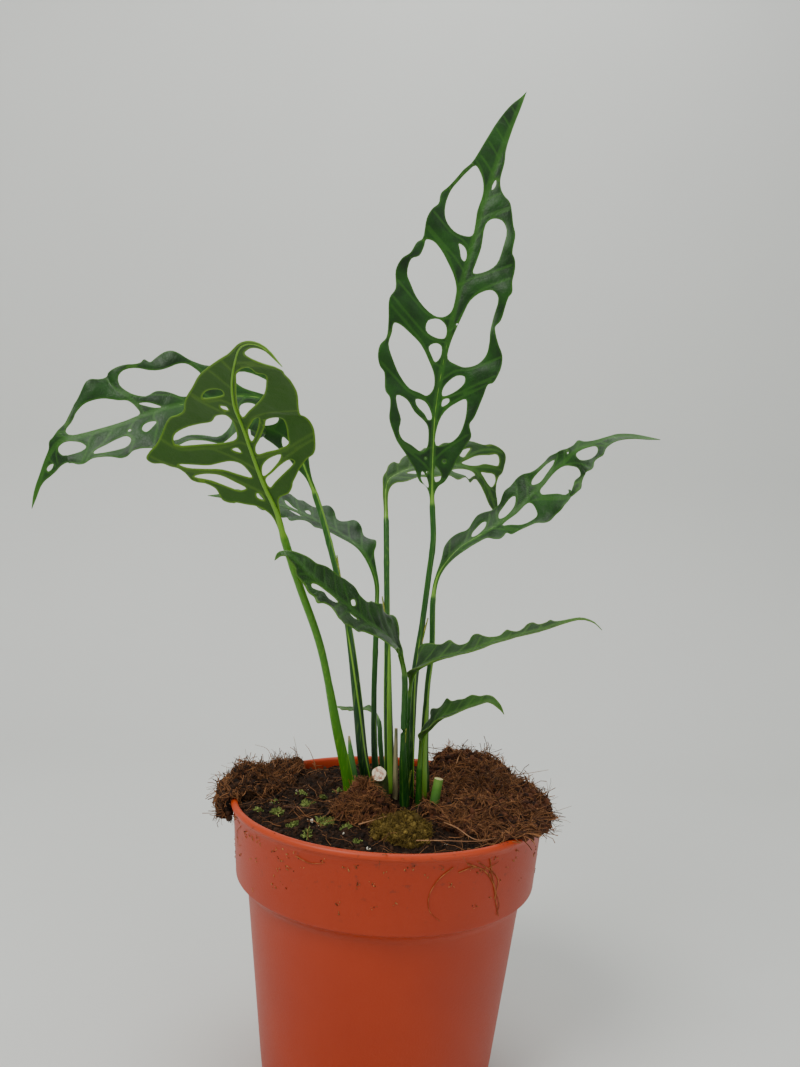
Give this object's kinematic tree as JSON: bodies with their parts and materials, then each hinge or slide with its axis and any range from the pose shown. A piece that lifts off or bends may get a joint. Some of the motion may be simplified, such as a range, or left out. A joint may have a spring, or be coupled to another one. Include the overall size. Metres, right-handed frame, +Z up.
{
  "type": "potted plant",
  "caption": "Young climbing aroid with long-stalked leaves pierced by large oval windows, growing from loose soil and coir fibre in a round terracotta-coloured plastic nursery pot.",
  "frame": {"origin": "centre of the pot's underside", "axes": "+Z up, +X to the right and +Y away from the side the plant is seen from"},
  "size_m": [0.2378, 0.1882, 0.3811],
  "materials": {
    "leaf": "satin dark green leaf, paler along the midrib and petiole",
    "young_leaf": "satin yellow-green young leaf",
    "stem": "satin mid-green sheath",
    "cut_stem": "matt, cream cut face on a green-brown stem",
    "dried_stem": "matt, dry and grey-tan",
    "coir": "loose matt red-brown fibre",
    "moss": "loose matt olive-yellow moss",
    "soil": "damp crumbly bark and coir mix",
    "pot": "satin terracotta-coloured plastic"
  },
  "bodies": {
    "root": {"leaf_tall": "leaf", "leaf_far_left": "leaf", "leaf_near_left": "young_leaf", "leaf_back_left": "leaf", "leaf_front": "leaf", "leaf_back": "leaf", "leaf_right": "leaf", "leaf_right_mid": "leaf", "leaf_right_low": "leaf", "leaf_back_small": "leaf", "rhizome": "cut_stem", "petiole_stub": "young_leaf", "sheath_spear": "stem", "dried_stem": "dried_stem", "coir_mound_right": "coir", "coir_tuft_left": "coir", "coir_clump_front": "coir", "moss_clump_front": "moss", "soil": "soil", "pot": "pot"}
  },
  "joints": []
}
